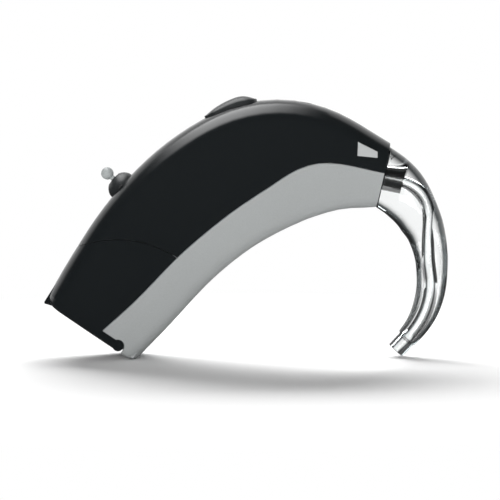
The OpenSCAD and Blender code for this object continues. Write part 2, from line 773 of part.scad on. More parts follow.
// Sound path: receiver, its boot, the tube and the nozzle
flange_from = 1.1;
flange_to = 0.2;
tail_radius = 0.9;
tail_reach = 1;
tube_wall = 0.4;
spout_reach = 1.3;
module hook_nozzle() {
    color([0.12, 0.13, 0.14]) stand() difference() {
        union() {
            loft([for (s = stations(body_length - flange_from, body_length - flange_to, 1))
                ring_at(s, body_section(s / body_length, wall + seat_gap))]);
            at_nose() rod(nozzle_radius, -flange_from, nozzle_length);
            at_nose() rod(tail_radius, -flange_from - tail_reach, 0);
        }
        at_nose() rod(bore_radius, -flange_from - tail_reach - overrun, nozzle_length + overrun);
    }
}
module sound_tube() {
    color([0.3, 0.3, 0.32]) stand() at_nose() difference() {
        rod(tail_radius + tube_wall, seat_gap - receiver_from + boot_wall, -flange_from - seat_gap);
        rod(tail_radius, -receiver_from - overrun, overrun);
    }
}
module receiver() {
    color([0.74, 0.75, 0.76]) stand() at_nose() difference() {
        union() {
            block([-receiver_from - receiver_size[0], -receiver_from],
                [-receiver_size[1] / 2, receiver_size[1] / 2],
                [-receiver_size[2] / 2, receiver_size[2] / 2]);
            rod(tail_radius, -receiver_from, spout_reach - receiver_from);
        }
        rod(bore_radius, -receiver_from - overrun, overrun);
    }
}
module receiver_boot() {
    color([0.16, 0.16, 0.17]) stand() at_nose() difference() {
        block([-receiver_from - receiver_size[0] - boot_wall, boot_wall - receiver_from],
            [-receiver_size[1] / 2 - boot_wall, receiver_size[1] / 2 + boot_wall],
            [-receiver_size[2] / 2 - boot_wall, receiver_size[2] / 2 + boot_wall]);
        block([-receiver_from - receiver_size[0], -receiver_from],
            [-receiver_size[1] / 2, receiver_size[1] / 2],
            [-receiver_size[2] / 2, receiver_size[2] / 2]);
        rod(tail_radius, -receiver_from - overrun, overrun);
    }
}

// Ear hook, turning on the nozzle, with the tubing spigot at its tip
hook_gap = 0.12;
module ear_hook() {
    color([0.88, 0.92, 0.93, 0.6]) stand() difference() {
        union() {
            loft([for (i = [0 : hook_steps])
                hook_ring(blend(hook_gap, hook_sweep, i / hook_steps) / hook_length)]);
            at_tip() rod(spigot_radius, -spigot_length - overrun, 0);
        }
        loft([for (i = [0 : hook_steps])
            round_ring(blend(nozzle_length - overrun, hook_length - spigot_length, i / hook_steps)
                / hook_length, bore_radius - seat_gap, hook_points / 2)]);
        at_tip() rod(bore_radius, -spigot_length - overrun, overrun);
        at_nose() rod(nozzle_radius + running_gap, -overrun, nozzle_length + seat_gap);
    }
}

upper_shell();
lower_shell();
chassis_frame();
side_marker();
hook_nozzle();
battery_door();
battery_cell();
hinge_pin();
plus_contact();
minus_contact();
program_button();
program_switch();
volume_collar();
volume_lever();
lever_pin();
volume_sensor();
front_microphone();
rear_microphone();
microphone_boots();
microphone_screens();
circuit_board();
processor_chip();
telecoil();
receiver();
receiver_boot();
sound_tube();
frame_screws();
ear_hook();
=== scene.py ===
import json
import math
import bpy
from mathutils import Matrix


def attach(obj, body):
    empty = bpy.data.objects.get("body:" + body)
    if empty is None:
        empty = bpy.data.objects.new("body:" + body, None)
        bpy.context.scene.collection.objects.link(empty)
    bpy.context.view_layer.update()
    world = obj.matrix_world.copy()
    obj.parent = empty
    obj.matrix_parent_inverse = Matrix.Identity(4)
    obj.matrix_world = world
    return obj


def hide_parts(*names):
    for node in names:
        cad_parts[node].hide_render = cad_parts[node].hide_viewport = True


bl_info = {
    "name": "Behind-the-ear hearing aid",
    "version": (1, 0, 0),
    "blender": (4, 5, 0),
    "location": "3D View > Sidebar > Hearing aid",
    "description": "Dresses a behind-the-ear hearing aid: casing, controls, clear ear hook and studio",
    "category": "Object",
}

import bmesh
import bpy
from mathutils import Vector

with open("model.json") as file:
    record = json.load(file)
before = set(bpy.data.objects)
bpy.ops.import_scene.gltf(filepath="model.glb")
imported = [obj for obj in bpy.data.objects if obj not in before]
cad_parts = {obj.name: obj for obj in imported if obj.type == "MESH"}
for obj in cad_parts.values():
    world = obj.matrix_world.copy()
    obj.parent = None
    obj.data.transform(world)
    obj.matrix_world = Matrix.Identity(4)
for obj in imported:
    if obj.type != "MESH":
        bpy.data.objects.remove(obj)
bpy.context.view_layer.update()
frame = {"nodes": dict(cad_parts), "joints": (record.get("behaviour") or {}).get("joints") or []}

MM = 0.001
JOINTS = {joint["name"]: joint for joint in frame["joints"]}


# Reading places from the frame


def flat(direction):
    """The unit vector of a direction in the XZ plane."""
    return Vector((direction[0], 0, direction[2])).normalized()


def reach(node, direction):
    """The lowest and highest place of a node's corners along a direction."""
    along = [vertex.co.dot(direction) for vertex in frame["nodes"][node].data.vertices]
    return min(along), max(along)


# Settings


def length(label, about, value):
    """A length, typed in millimetres."""
    return bpy.props.FloatProperty(
        name=label, description=about, default=value * MM, unit="LENGTH", precision=5
    )


def angle(label, about, degrees):
    """An angle, typed in degrees."""
    return bpy.props.FloatProperty(
        name=label, description=about, default=math.radians(degrees), subtype="ANGLE"
    )


def number(label, about, value):
    """A plain number."""
    return bpy.props.FloatProperty(name=label, description=about, default=value)


def colour(label, about, value):
    """A colour, as linear red, green and blue."""
    return bpy.props.FloatVectorProperty(
        name=label, description=about, default=value, size=3, subtype="COLOR", min=0, max=1
    )


class HookSizes(bpy.types.PropertyGroup):
    nose_depth: length("Nose depth", "Depth of the casing where the hook meets it", 8.8)
    nose_width: length("Nose width", "Width of the casing where the hook meets it", 7.2)
    root: length("Root", "Straight length before the first bend", 1.5)
    root_radius: length("Root bend", "Radius of the first bend", 5.4)
    root_turn: angle("Root turn", "Angle of the first bend", 71.7)
    middle: length("Middle", "Straight length between the bends", 7.5)
    tip_radius: length("Tip bend", "Radius of the long bend", 10.2)
    tip_turn: angle("Tip turn", "Angle of the long bend", 48.1)
    straight: length("Straight", "Straight length at the tip", 2.6)
    spigot_radius: length("Spigot radius", "Radius of the tubing spigot", 1.15)
    spigot_length: length("Spigot length", "Length of the tubing spigot", 2.1)
    bore_radius: length("Bore radius", "Radius of the sound bore", 0.65)
    bore_step: length("Bore step", "How much narrower the bore is inside the bend", 0.05)
    socket_radius: length("Socket radius", "Radius of the socket for the nozzle", 1.54)
    socket_depth: length("Socket depth", "Depth of the socket for the nozzle", 2.55)
    face_gap: length("Face gap", "Gap between the hook and the casing", 0.12)
    edge: length("Edge", "Rounding of the hook's edges", 0.12)


class ControlSizes(bpy.types.PropertyGroup):
    button_length: length("Button length", "Length of the program button", 7.0)
    button_width: length("Button width", "Width of the program button", 3.2)
    button_height: length("Button height", "Height of the button above the spine", 1.2)
    button_skirt: length("Button skirt", "Depth of the button's side below the spine", 1.3)


class FinishColours(bpy.types.PropertyGroup):
    black: colour("Black", "Black of the upper casing, door and nozzle", (0.0048, 0.0066, 0.0075))
    silver: colour("Silver", "Satin silver of the lower casing", (0.37, 0.385, 0.385))
    trim: colour("Trim", "Satin black of the button and collar", (0.014, 0.016, 0.017))
    marker: colour("Marker", "Light grey of the side marker", (0.38, 0.39, 0.39))
    lever: colour("Lever", "Light grey of the volume lever", (0.34, 0.36, 0.36))
    clear: colour("Clear", "Clear plastic of the ear hook", (0.97, 0.985, 0.985))
    # Clear edge is a painted shade: the dark colour the hook's plastic is painted at a glancing angle, for
    # the dark edges of a clear part
    clear_edge: colour("Clear edge", "The hook's darker look at a glancing angle", (0.02, 0.024, 0.025))
    frame: colour("Frame", "Moulded inner frame and the mesh in the ports", (0.035, 0.036, 0.04))
    steel: colour("Steel", "Cell, pins and cans", (0.56, 0.57, 0.58))
    gold: colour("Gold", "Contact springs", (0.72, 0.5, 0.16))
    rubber: colour("Rubber", "Boots, sound tube and chip", (0.03, 0.03, 0.033))
    board: colour("Board", "Circuit board", (0.012, 0.1, 0.04))
    copper: colour("Copper", "Telecoil winding", (0.5, 0.17, 0.06))


class StageSettings(bpy.types.PropertyGroup):
    view_height: angle("View height", "How far the camera looks down", 5)
    view_width: length("View width", "Width that the camera sees at the object", 64)
    lens: bpy.props.FloatProperty(name="Lens", description="Focal length", default=200, unit="CAMERA")
    middle_x: length("Middle X", "Place that the camera looks at, along X", 0.5)
    middle_z: length("Middle Z", "Place that the camera looks at, along Z", 13.7)
    key: number("Key", "Radiance of the high lamp behind", 20.15)
    band: number("Band", "Radiance of the overhead softbox at its middle", 5.8)
    front: number("Front", "Radiance of the lamp in front", 7.8)
    fill: number("Fill", "Strength of the room's light", 0.22)
    dim: number("Dim", "Room in front, as glossy plastic mirrors it", 0.1)
    surround: number("Surround", "Room beside the backdrop, as seen through clear plastic", 0.05)


# Meshes

# Corners closer together than this become one, in new pieces and in carried-over solids
NEW_WELD, CARRIED_WELD = 0.0005 * MM, 0.001 * MM


def new_object(name, vertices, faces):
    """A smooth-shaded object with outward faces, with its place in its mesh."""
    mesh = bpy.data.meshes.new(name)
    mesh.from_pydata([tuple(v) for v in vertices], [], faces)
    work = bmesh.new()
    work.from_mesh(mesh)
    bmesh.ops.remove_doubles(work, verts=work.verts, dist=NEW_WELD)
    bmesh.ops.recalc_face_normals(work, faces=work.faces)
    work.to_mesh(mesh)
    work.free()
    mesh.polygons.foreach_set("use_smooth", [True] * len(mesh.polygons))
    piece = bpy.data.objects.new(name, mesh)
    bpy.context.scene.collection.objects.link(piece)
    return piece


def ring_faces(rings, closed):
    """Faces that join rings of equal length, one after another, and the last to the first if closed."""
    count = len(rings[0])
    faces = []
    for i in range(len(rings) if closed else len(rings) - 1):
        here, there = i * count, (i + 1) % len(rings) * count
        for j in range(count):
            k = (j + 1) % count
            faces.append((here + j, here + k, there + k, there + j))
    return faces


def keep_creases(piece, degrees):
    """Shades edges that bend by more than an angle as sharp."""
    piece.data.set_sharp_from_angle(angle=math.radians(degrees))


def smooth_between(values, place):
    """A smooth curve through values that are evenly spaced from 0 to 1."""
    last = len(values) - 1
    u = min(max(place, 0), 1) * last
    i = min(int(u), last - 1)
    a = values[i - 1] if i > 0 else 2 * values[0] - values[1]
    b, c = values[i], values[i + 1]
    d = values[i + 2] if i + 2 <= last else 2 * values[last] - values[last - 1]
    f = u - i
    bend = 2 * a - 5 * b + 4 * c - d
    return (2 * b + (c - a) * f + bend * f * f + (3 * b - a - 3 * c + d) * f**3) / 2


# Shading groups

# Middle value of a noise, which leaves the colour as it is
NOISE_MIDDLE = 0.5
# Rubs per metre along and across, the turn of their direction, and their strength beside the patches
RUB_SCALE, RUB_TURN, RUB_STRENGTH = (200, 2600, 2600), (0, 0.7, 0), 0.4
# Middle value of patches and rubs together, which leaves the roughness as it is
MARKS_MIDDLE = NOISE_MIDDLE * (1 + RUB_STRENGTH)
# Cosine of an edge's rounding where rubbing starts, and where it is full
RUBBED_FROM, RUBBED_FULL = 0.995, 0.85


def new_group(name, inputs, outputs):
    """An empty shading group with its inputs and outputs."""
    tree = bpy.data.node_groups.new(name, "ShaderNodeTree")
    for label, kind, value in inputs:
        socket = tree.interface.new_socket(label, in_out="INPUT", socket_type=kind)
        socket.default_value = value
    for label, kind in outputs:
        tree.interface.new_socket(label, in_out="OUTPUT", socket_type=kind)
    return tree, tree.nodes.new("NodeGroupInput"), tree.nodes.new("NodeGroupOutput")


def add_node(tree, kind, **values):
    """A node with its properties set, and its inputs where a key starts with in_."""
    node = tree.nodes.new(kind)
    for key, value in values.items():
        if key.startswith("in_"):
            name = key[3:]
            node.inputs[int(name) if name.isdigit() else name].default_value = value
        else:
            setattr(node, key, value)
    return node


def grade(tree, value, start, end, low=0, high=1, shape="SMOOTHSTEP"):
    """Grades a value from low at start to high at end, smoothly unless the shape says otherwise."""
    graded = add_node(
        tree, "ShaderNodeMapRange", interpolation_type=shape, in_1=start, in_2=end, in_3=low, in_4=high
    )
    tree.links.new(value, graded.inputs[0])
    return graded.outputs[0]


def by_ray(tree, path, flag, plain, seen):
    """The seen level for rays of a kind and the plain one for the rest, each a number or a link."""
    mix = add_node(tree, "ShaderNodeMix", data_type="FLOAT")
    tree.links.new(path.outputs[flag], mix.inputs["Factor"])
    for label, level in (("A", plain), ("B", seen)):
        if isinstance(level, (int, float)):
            mix.inputs[label].default_value = level
        else:
            tree.links.new(level, mix.inputs[label])
    return mix.outputs["Result"]


def fine_grain():
    """Moulded grain: a light and dark change of the colour, and the height for a bump."""
    tree, source, result = new_group(
        "fine_grain",
        [
            ("Color", "NodeSocketColor", (0.5, 0.5, 0.5, 1)),
            ("Contrast", "NodeSocketFloat", 0.1),
            ("Grains per metre", "NodeSocketFloat", 5000),
        ],
        [("Color", "NodeSocketColor"), ("Height", "NodeSocketFloat")],
    )
    link = tree.links.new
    place = add_node(tree, "ShaderNodeTexCoord")
    noise = add_node(tree, "ShaderNodeTexNoise", in_Detail=3, in_Roughness=0.6)
    link(place.outputs["Object"], noise.inputs["Vector"])
    link(source.outputs["Grains per metre"], noise.inputs["Scale"])
    centred = add_node(tree, "ShaderNodeMath", operation="SUBTRACT", in_1=NOISE_MIDDLE)
    link(noise.outputs["Fac"], centred.inputs[0])
    swing = add_node(tree, "ShaderNodeMath", operation="MULTIPLY_ADD", in_2=1)
    link(centred.outputs[0], swing.inputs[0])
    link(source.outputs["Contrast"], swing.inputs[1])
    shade = add_node(tree, "ShaderNodeVectorMath", operation="SCALE")
    link(source.outputs["Color"], shade.inputs[0])
    link(swing.outputs[0], shade.inputs["Scale"])
    link(shade.outputs[0], result.inputs["Color"])
    link(noise.outputs["Fac"], result.inputs["Height"])
    return tree


def handling_marks():
    """Roughness that drifts in soft patches and is broken by faint hairline rubs."""
    tree, source, result = new_group(
        "handling_marks",
        [
            ("Roughness", "NodeSocketFloat", 0.3),
            ("Amount", "NodeSocketFloat", 0.1),
            ("Patches per metre", "NodeSocketFloat", 120),
        ],
        [("Roughness", "NodeSocketFloat")],
    )
    link = tree.links.new
    place = add_node(tree, "ShaderNodeTexCoord")
    patches = add_node(tree, "ShaderNodeTexNoise", in_Detail=2)
    link(place.outputs["Object"], patches.inputs["Vector"])
    link(source.outputs["Patches per metre"], patches.inputs["Scale"])
    stretch = add_node(tree, "ShaderNodeMapping", in_Scale=RUB_SCALE, in_Rotation=RUB_TURN)
    link(place.outputs["Object"], stretch.inputs["Vector"])
    rubs = add_node(tree, "ShaderNodeTexNoise", in_Scale=1, in_Detail=1)
    link(stretch.outputs[0], rubs.inputs["Vector"])
    both = add_node(tree, "ShaderNodeMath", operation="MULTIPLY_ADD", in_1=RUB_STRENGTH)
    link(rubs.outputs["Fac"], both.inputs[0])
    link(patches.outputs["Fac"], both.inputs[2])
    centred = add_node(tree, "ShaderNodeMath", operation="SUBTRACT", in_1=MARKS_MIDDLE)
    link(both.outputs[0], centred.inputs[0])
    total = add_node(tree, "ShaderNodeMath", operation="MULTIPLY_ADD", use_clamp=True)
    link(centred.outputs[0], total.inputs[0])
    link(source.outputs["Amount"], total.inputs[1])
    link(source.outputs["Roughness"], total.inputs[2])
    link(total.outputs[0], result.inputs["Roughness"])
    return tree


def edge_wear():
    """A colour that lightens where an edge is rubbed."""
    tree, source, result = new_group(
        "edge_wear",
        [
            ("Color", "NodeSocketColor", (0.5, 0.5, 0.5, 1)),
            ("Worn", "NodeSocketColor", (0.6, 0.6, 0.6, 1)),
            ("Amount", "NodeSocketFloat", 0.3),
            ("Width", "NodeSocketFloat", 0.1 * MM),
        ],
        [("Color", "NodeSocketColor")],
    )
    link = tree.links.new
    geometry = add_node(tree, "ShaderNodeNewGeometry")
    rounded = add_node(tree, "ShaderNodeBevel", samples=4)
    link(source.outputs["Width"], rounded.inputs["Radius"])
    same = add_node(tree, "ShaderNodeVectorMath", operation="DOT_PRODUCT")
    link(geometry.outputs["Normal"], same.inputs[0])
    link(rounded.outputs["Normal"], same.inputs[1])
    rubbed = grade(tree, same.outputs["Value"], RUBBED_FROM, RUBBED_FULL, shape="LINEAR")
    amount = add_node(tree, "ShaderNodeMath", operation="MULTIPLY", use_clamp=True)
    link(rubbed, amount.inputs[0])
    link(source.outputs["Amount"], amount.inputs[1])
    mix = add_node(tree, "ShaderNodeMix", data_type="RGBA")
    link(amount.outputs[0], mix.inputs["Factor"])
    link(source.outputs["Color"], mix.inputs["A"])
    link(source.outputs["Worn"], mix.inputs["B"])
    link(mix.outputs["Result"], result.inputs["Color"])
    return tree


def shared(builder):
    """The group that a function builds, built the first time it is wanted."""
    return bpy.data.node_groups.get(builder.__name__) or builder()


def place_group(tree, builder, **values):
    """A shading group as a node, with its inputs set."""
    node = tree.nodes.new("ShaderNodeGroup")
    node.node_tree = shared(builder)
    for label, value in values.items():
        node.inputs[label.replace("_", " ")].default_value = value
    return node


# Materials

# How much lighter a rubbed edge is: a part that is added, and a factor
WORN_LIFT, WORN_GAIN = 0.05, 1.3
GRAIN_DEPTH = 0.01 * MM
# How far clear plastic turns from the viewer where its painted shade starts, and where the painted shade is
# darkest
CLEAR_UNTIL, PAINTED_SHADE_FULL = 0.08, 0.34


def new_material(name):
    """A new material, its node tree and its main shader."""
    material = bpy.data.materials.new(name)
    material.use_nodes = True
    tree = material.node_tree
    return material, tree, tree.nodes["Principled BSDF"]


def with_alpha(value):
    return (value[0], value[1], value[2], 1)


def moulded(name, value, roughness, grain=0.1, grains=5000, bump=0.1, marks=0.08, wear=0.3, **sockets):
    """A plastic, rubber or metal finish with grain, handling marks and rubbed edges."""
    material, tree, principled = new_material(name)
    link = tree.links.new
    base = with_alpha(value)
    worn = with_alpha([min(1, WORN_LIFT + WORN_GAIN * v) for v in value])
    texture = place_group(tree, fine_grain, Color=base, Contrast=grain, Grains_per_metre=grains)
    edges = place_group(tree, edge_wear, Worn=worn, Amount=wear)
    rubbed = place_group(tree, handling_marks, Roughness=roughness, Amount=marks)
    link(texture.outputs["Color"], edges.inputs["Color"])
    link(edges.outputs["Color"], principled.inputs["Base Color"])
    link(rubbed.outputs["Roughness"], principled.inputs["Roughness"])
    height = add_node(tree, "ShaderNodeBump", in_Strength=bump, in_Distance=GRAIN_DEPTH)
    link(texture.outputs["Height"], height.inputs["Height"])
    link(height.outputs["Normal"], principled.inputs["Normal"])
    for label, level in sockets.items():
        principled.inputs[label.replace("_", " ")].default_value = level
    return material


def clear_plastic(name, value, painted_shade_value):
    """Clear plastic with a painted shade: its colour darkens at a glancing angle, as a clear part looks
    before a pale wall.
    """
    material, tree, principled = new_material(name)
    link = tree.links.new
    facing = add_node(tree, "ShaderNodeLayerWeight", in_Blend=0.5)
    clear, dark = with_alpha(value), with_alpha(painted_shade_value)
    # The colour turns to the painted shade as the surface turns away from the viewer
    mix = add_node(tree, "ShaderNodeMix", data_type="RGBA", in_A=clear, in_B=dark)
    link(grade(tree, facing.outputs["Facing"], CLEAR_UNTIL, PAINTED_SHADE_FULL), mix.inputs["Factor"])
    link(mix.outputs["Result"], principled.inputs["Base Color"])
    rubbed = place_group(tree, handling_marks, Roughness=0.02, Amount=0.03)
    link(rubbed.outputs["Roughness"], principled.inputs["Roughness"])
    principled.inputs["Transmission Weight"].default_value = 1
    principled.inputs["IOR"].default_value = 1.49
    return material


def dress(piece, material):
    """Gives a piece its finish."""
    piece.data.materials.clear()
    piece.data.materials.append(material)


# Smoothing of the carried-over solids

# Edges of carried-over solids that bend by more than this stay sharp
SHARP_ANGLE = math.radians(28)


def soft_shading():
    """Geometry nodes that join split corners and shade smoothly up to an angle."""
    tree = bpy.data.node_groups.new("soft_shading", "GeometryNodeTree")
    tree.interface.new_socket("Geometry", in_out="INPUT", socket_type="NodeSocketGeometry")
    limit = tree.interface.new_socket("Angle", in_out="INPUT", socket_type="NodeSocketFloat")
    limit.default_value = SHARP_ANGLE
    tree.interface.new_socket("Geometry", in_out="OUTPUT", socket_type="NodeSocketGeometry")
    link = tree.links.new
    source, result = tree.nodes.new("NodeGroupInput"), tree.nodes.new("NodeGroupOutput")
    joined = add_node(tree, "GeometryNodeMergeByDistance", in_Distance=CARRIED_WELD)
    plain = add_node(tree, "GeometryNodeRemoveAttribute", in_Name="custom_normal")
    smooth = add_node(tree, "GeometryNodeSetShadeSmooth", domain="FACE")
    bent = add_node(tree, "GeometryNodeInputMeshEdgeAngle")
    sharp = add_node(tree, "FunctionNodeCompare", data_type="FLOAT", operation="GREATER_THAN")
    crease = add_node(tree, "GeometryNodeSetShadeSmooth", domain="EDGE")
    crease.inputs["Shade Smooth"].default_value = False
    link(source.outputs["Geometry"], plain.inputs["Geometry"])
    link(plain.outputs["Geometry"], joined.inputs["Geometry"])
    link(joined.outputs["Geometry"], smooth.inputs["Geometry"])
    link(smooth.outputs["Geometry"], crease.inputs["Geometry"])
    link(bent.outputs["Unsigned Angle"], sharp.inputs[0])
    link(source.outputs["Angle"], sharp.inputs[1])
    link(sharp.outputs[0], crease.inputs["Selection"])
    link(crease.outputs["Geometry"], result.inputs["Geometry"])
    return tree


# How far the ear side rises at every millimetre along X, from BELLY_START on, in mm
BELLY_START = -1
BELLY_CHANGES = (
    0, 0, 0.007, 0.036, 0.061, 0.059, -0.025, -0.277, -0.51,
    -0.53, -0.43, -0.25, -0.09, 0.04, 0.09, 0.06, 0.01, 0,
)
# The most that the changes can span, half up and half down, in mm
BELLY_SPAN = 1.2
# Z of the skin's normal where the change starts, and where it is full
BELLY_SIDE, BELLY_UNDER = -0.1, -0.6


def even_belly():
    """Geometry nodes that even out the bend of the lower shell's outer skin on the ear side."""
    tree = bpy.data.node_groups.new("even_belly", "GeometryNodeTree")
    tree.interface.new_socket("Geometry", in_out="INPUT", socket_type="NodeSocketGeometry")
    tree.interface.new_socket("Geometry", in_out="OUTPUT", socket_type="NodeSocketGeometry")
    link = tree.links.new
    source, result = tree.nodes.new("NodeGroupInput"), tree.nodes.new("NodeGroupOutput")
    joined = add_node(tree, "GeometryNodeMergeByDistance", in_Distance=CARRIED_WELD)
    moved = add_node(tree, "GeometryNodeSetPosition")
    place = add_node(tree, "GeometryNodeInputPosition")
    normal = add_node(tree, "GeometryNodeInputNormal")
    place_parts = add_node(tree, "ShaderNodeSeparateXYZ")
    normal_parts = add_node(tree, "ShaderNodeSeparateXYZ")
    link(place.outputs[0], place_parts.inputs[0])
    link(normal.outputs[0], normal_parts.inputs[0])
    last = len(BELLY_CHANGES) - 1
    start, end = BELLY_START * MM, (BELLY_START + last) * MM
    along = grade(tree, place_parts.outputs["X"], start, end, shape="LINEAR")
    change = add_node(tree, "ShaderNodeFloatCurve")
    points = change.mapping.curves[0].points
    spots = [(i / last, 0.5 + rise / BELLY_SPAN) for i, rise in enumerate(BELLY_CHANGES)]
    points[0].location, points[1].location = spots[0], spots[-1]
    for spot in spots[1:-1]:
        points.new(*spot)
    change.mapping.update()
    link(along, change.inputs["Value"])
    lift = add_node(
        tree, "ShaderNodeMapRange", clamp=False, in_1=0, in_2=1,
        in_3=-BELLY_SPAN / 2 * MM, in_4=BELLY_SPAN / 2 * MM,
    )
    link(change.outputs[0], lift.inputs[0])
    downward = grade(tree, normal_parts.outputs["Z"], BELLY_SIDE, BELLY_UNDER)
    product = add_node(tree, "ShaderNodeMath", operation="MULTIPLY")
    link(lift.outputs[0], product.inputs[0])
    link(downward, product.inputs[1])
    offset = add_node(tree, "ShaderNodeCombineXYZ")
    link(product.outputs[0], offset.inputs["Z"])
    link(source.outputs["Geometry"], joined.inputs["Geometry"])
    link(joined.outputs["Geometry"], moved.inputs["Geometry"])
    link(offset.outputs[0], moved.inputs["Offset"])
    link(moved.outputs["Geometry"], result.inputs["Geometry"])
    return tree


def carry_over(nodes, material):
    """Shows CAD nodes with smooth shading and a finish."""
    for name in nodes:
        solid = frame["nodes"][name]
        modifier = solid.modifiers.new("soft_shading", "NODES")
        modifier.node_group = shared(soft_shading)
        dress(solid, material)


# Pieces


class HEARING_OT_casing(bpy.types.Operator):
    """Finishes the two shells, the battery door and the side marker"""

    bl_idname = "hearing.casing"
    bl_label = "Casing"

    def execute(self, context):
        colours = context.scene.hearing_colours
        black = moulded(
            "gloss_black", colours.black, 0.2, grain=0.05, bump=0.02, marks=0.06, wear=0.15
        )
        silver = moulded(
            "satin_silver", colours.silver, 0.42, grain=0.22, grains=7000, bump=0.12, wear=0.35,
            Metallic=0.25,
        )
        grey = moulded("marker_grey", colours.marker, 0.4, grain=0.12, wear=0.2)
        carry_over(["upper_shell", "battery_door"], black)
        belly = frame["nodes"]["lower_shell"].modifiers.new("even_belly", "NODES")
        belly.node_group = even_belly()
        carry_over(["lower_shell"], silver)
        carry_over(["side_marker"], grey)
        return {"FINISHED"}


def stadium(long, wide, inset, count):
    """Points round a slot outline, drawn in by the inset, as many along each side as round each end."""
    radius = wide / 2 - inset
    half = (long - wide) / 2
    points = []
    for side in (1, -1):
        for i in range(count):
            turn = side * math.pi * (i / count - 0.5)
            points.append((side * half + side * radius * math.cos(turn), radius * math.sin(turn)))
        for i in range(count):
            points.append((side * half * (1 - 2 * i / count), side * radius))
    return points


def button_rings(sizes):
    """The button's skirt and its rounded crown, as rings of (along, across, out)."""
    around, steps = 24, 24
    rim_power, crown_power = 2.4, 2
    lean, top_share, rim_height = 0.3, 0.83, 0.08 * MM
    half = sizes.button_length / 2
    outline = stadium(sizes.button_length, sizes.button_width, 0, around)
    rings = [[(x, y, -sizes.button_skirt) for x, y in outline]]
    for i in range(steps):
        inset = i / steps
        rim = (1 - (1 - inset) ** rim_power) ** (1 / rim_power)
        points = stadium(sizes.button_length, sizes.button_width, inset * sizes.button_width / 2, around)
        ring = []
        for x, y in points:
            place = x / half
            skewed = (place - lean) / (1 - lean) if place > lean else (place - lean) / (1 + lean)
            crown = sizes.button_height * top_share * (1 - abs(skewed) ** crown_power)
            ring.append((x, y, max(crown, rim_height) * rim))
        rings.append(ring)
    return rings


class HEARING_OT_controls(bpy.types.Operator):
    """Builds the program button and finishes the volume control"""

    bl_idname = "hearing.controls"
    bl_label = "Controls"

    def execute(self, context):
        sizes = context.scene.hearing_controls
        colours = context.scene.hearing_colours
        trim = moulded("satin_trim", colours.trim, 0.38, grain=0.12, bump=0.08, wear=0.3)
        light = moulded("lever_grey", colours.lever, 0.35, grain=0.08, wear=0.2)
        out = -flat(JOINTS["button_press"]["axis"])
        along = Vector((out.z, 0, -out.x))
        middle = sum(reach("program_button", along)) / 2
        spine = reach("program_button", out)[1] - sizes.button_height
        across = Vector((0, 1, 0))
        base = along * middle + out * spine
        rings = button_rings(sizes)
        corners = [base + along * x + across * y + out * z for ring in rings for x, y, z in ring]
        faces = ring_faces(rings, False)
        count = len(rings[0])
        faces.append(tuple(range(count)))
        faces.append(tuple(range(len(corners) - count, len(corners))))
        button = new_object("button_cap", corners, faces)
        keep_creases(button, 40)
        dress(button, trim)
        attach(button, "button")
        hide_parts("program_button")
        carry_over(["volume_collar"], trim)
        carry_over(["volume_lever"], light)
        return {"FINISHED"}


# The hook's sections, evenly spaced along its line: their lean, as shares of its whole turn, and their
# outer edge, inner edge and width, as shares of the nose's
HOOK_TILT_SHARES = (0, 0.1, 0.24, 0.4, 0.57, 0.71, 0.86, 1, 1)
HOOK_OUTER_SHARES = (0.9, 0.58, 0.42, 0.53, 0.54, 0.45, 0.38, 0.31, 0.26)
HOOK_INNER_SHARES = (0.89, 1.08, 0.97, 0.61, 0.42, 0.42, 0.41, 0.35, 0.26)
HOOK_WIDTH_SHARES = (1, 0.92, 0.8, 0.69, 0.61, 0.56, 0.51, 0.43, 0.33)
# How square the hook is at its root, and how fast it turns round from there
HOOK_SQUARENESS, HOOK_SQUARE_FADE = 1.5, 5


def on_section(place, tilt, across, outward):
    """A point of a section that stands across the hook's line at a place."""
    return place + Vector((-outward * math.sin(tilt), across, outward * math.cos(tilt)))


def round_section(place, heading, radius, count):
    """A circle that stands across the hook's line at a place."""
    turns = [2 * math.pi * i / count for i in range(count)]
    return [on_section(place, heading, radius * math.cos(t), radius * math.sin(t)) for t in turns]


class HookLine:
    """The hook's centre line from the nose of the casing to its tip."""

    def __init__(self, sizes):
        joint = JOINTS["hook_turn"]
        self.sizes = sizes
        self.start = Vector(joint["pos_m"])
        self.heading = math.atan2(joint["axis"][2], joint["axis"][0])
        self.spans = [
            (sizes.root, 0),
            (sizes.root_radius * sizes.root_turn, sizes.root_turn),
            (sizes.middle, 0),
            (sizes.tip_radius * sizes.tip_turn, sizes.tip_turn),
            (sizes.straight, 0),
        ]
        self.length = sum(span for span, turn in self.spans)
        self.turn = sizes.root_turn + sizes.tip_turn

    def at(self, distance):
        """The place and heading after a distance along the line."""
        place, heading = self.start.copy(), self.heading
        for index, (span, turn) in enumerate(self.spans):
            last = index == len(self.spans) - 1
            step = distance if last else min(distance, span)
            if turn:
                radius = span / turn
                bent = turn * step / span
                place.x += radius * (math.sin(heading) - math.sin(heading - bent))
                place.z += radius * (math.cos(heading - bent) - math.cos(heading))
                heading -= bent
            else:
                place.x += step * math.cos(heading)
                place.z += step * math.sin(heading)
            distance -= step
            if distance <= 0:
                break
        return place, heading

    def ring(self, distance, inset, count):
        """The outer section at a distance, drawn in by the inset."""
        share = distance / self.length
        place, _ = self.at(distance)
        tilt = self.heading - self.turn * min(smooth_between(HOOK_TILT_SHARES, share), 1)
        out = self.sizes.nose_depth * smooth_between(HOOK_OUTER_SHARES, share) / 2 - inset
        inner = self.sizes.nose_depth * smooth_between(HOOK_INNER_SHARES, share) / 2 - inset
        half = self.sizes.nose_width * smooth_between(HOOK_WIDTH_SHARES, share) / 2 - inset
        power = 2 / (2 + HOOK_SQUARENESS * (1 - min(share, 1)) ** HOOK_SQUARE_FADE)
        points = []
        for i in range(count):
            turn = 2 * math.pi * i / count
            wave = math.copysign(abs(math.sin(turn)) ** power, math.sin(turn))
            side = math.copysign(abs(math.cos(turn)) ** power, math.cos(turn))
            outward = (out - inner) / 2 + (out + inner) / 2 * wave
            points.append(on_section(place, tilt, half * side, outward))
        return points


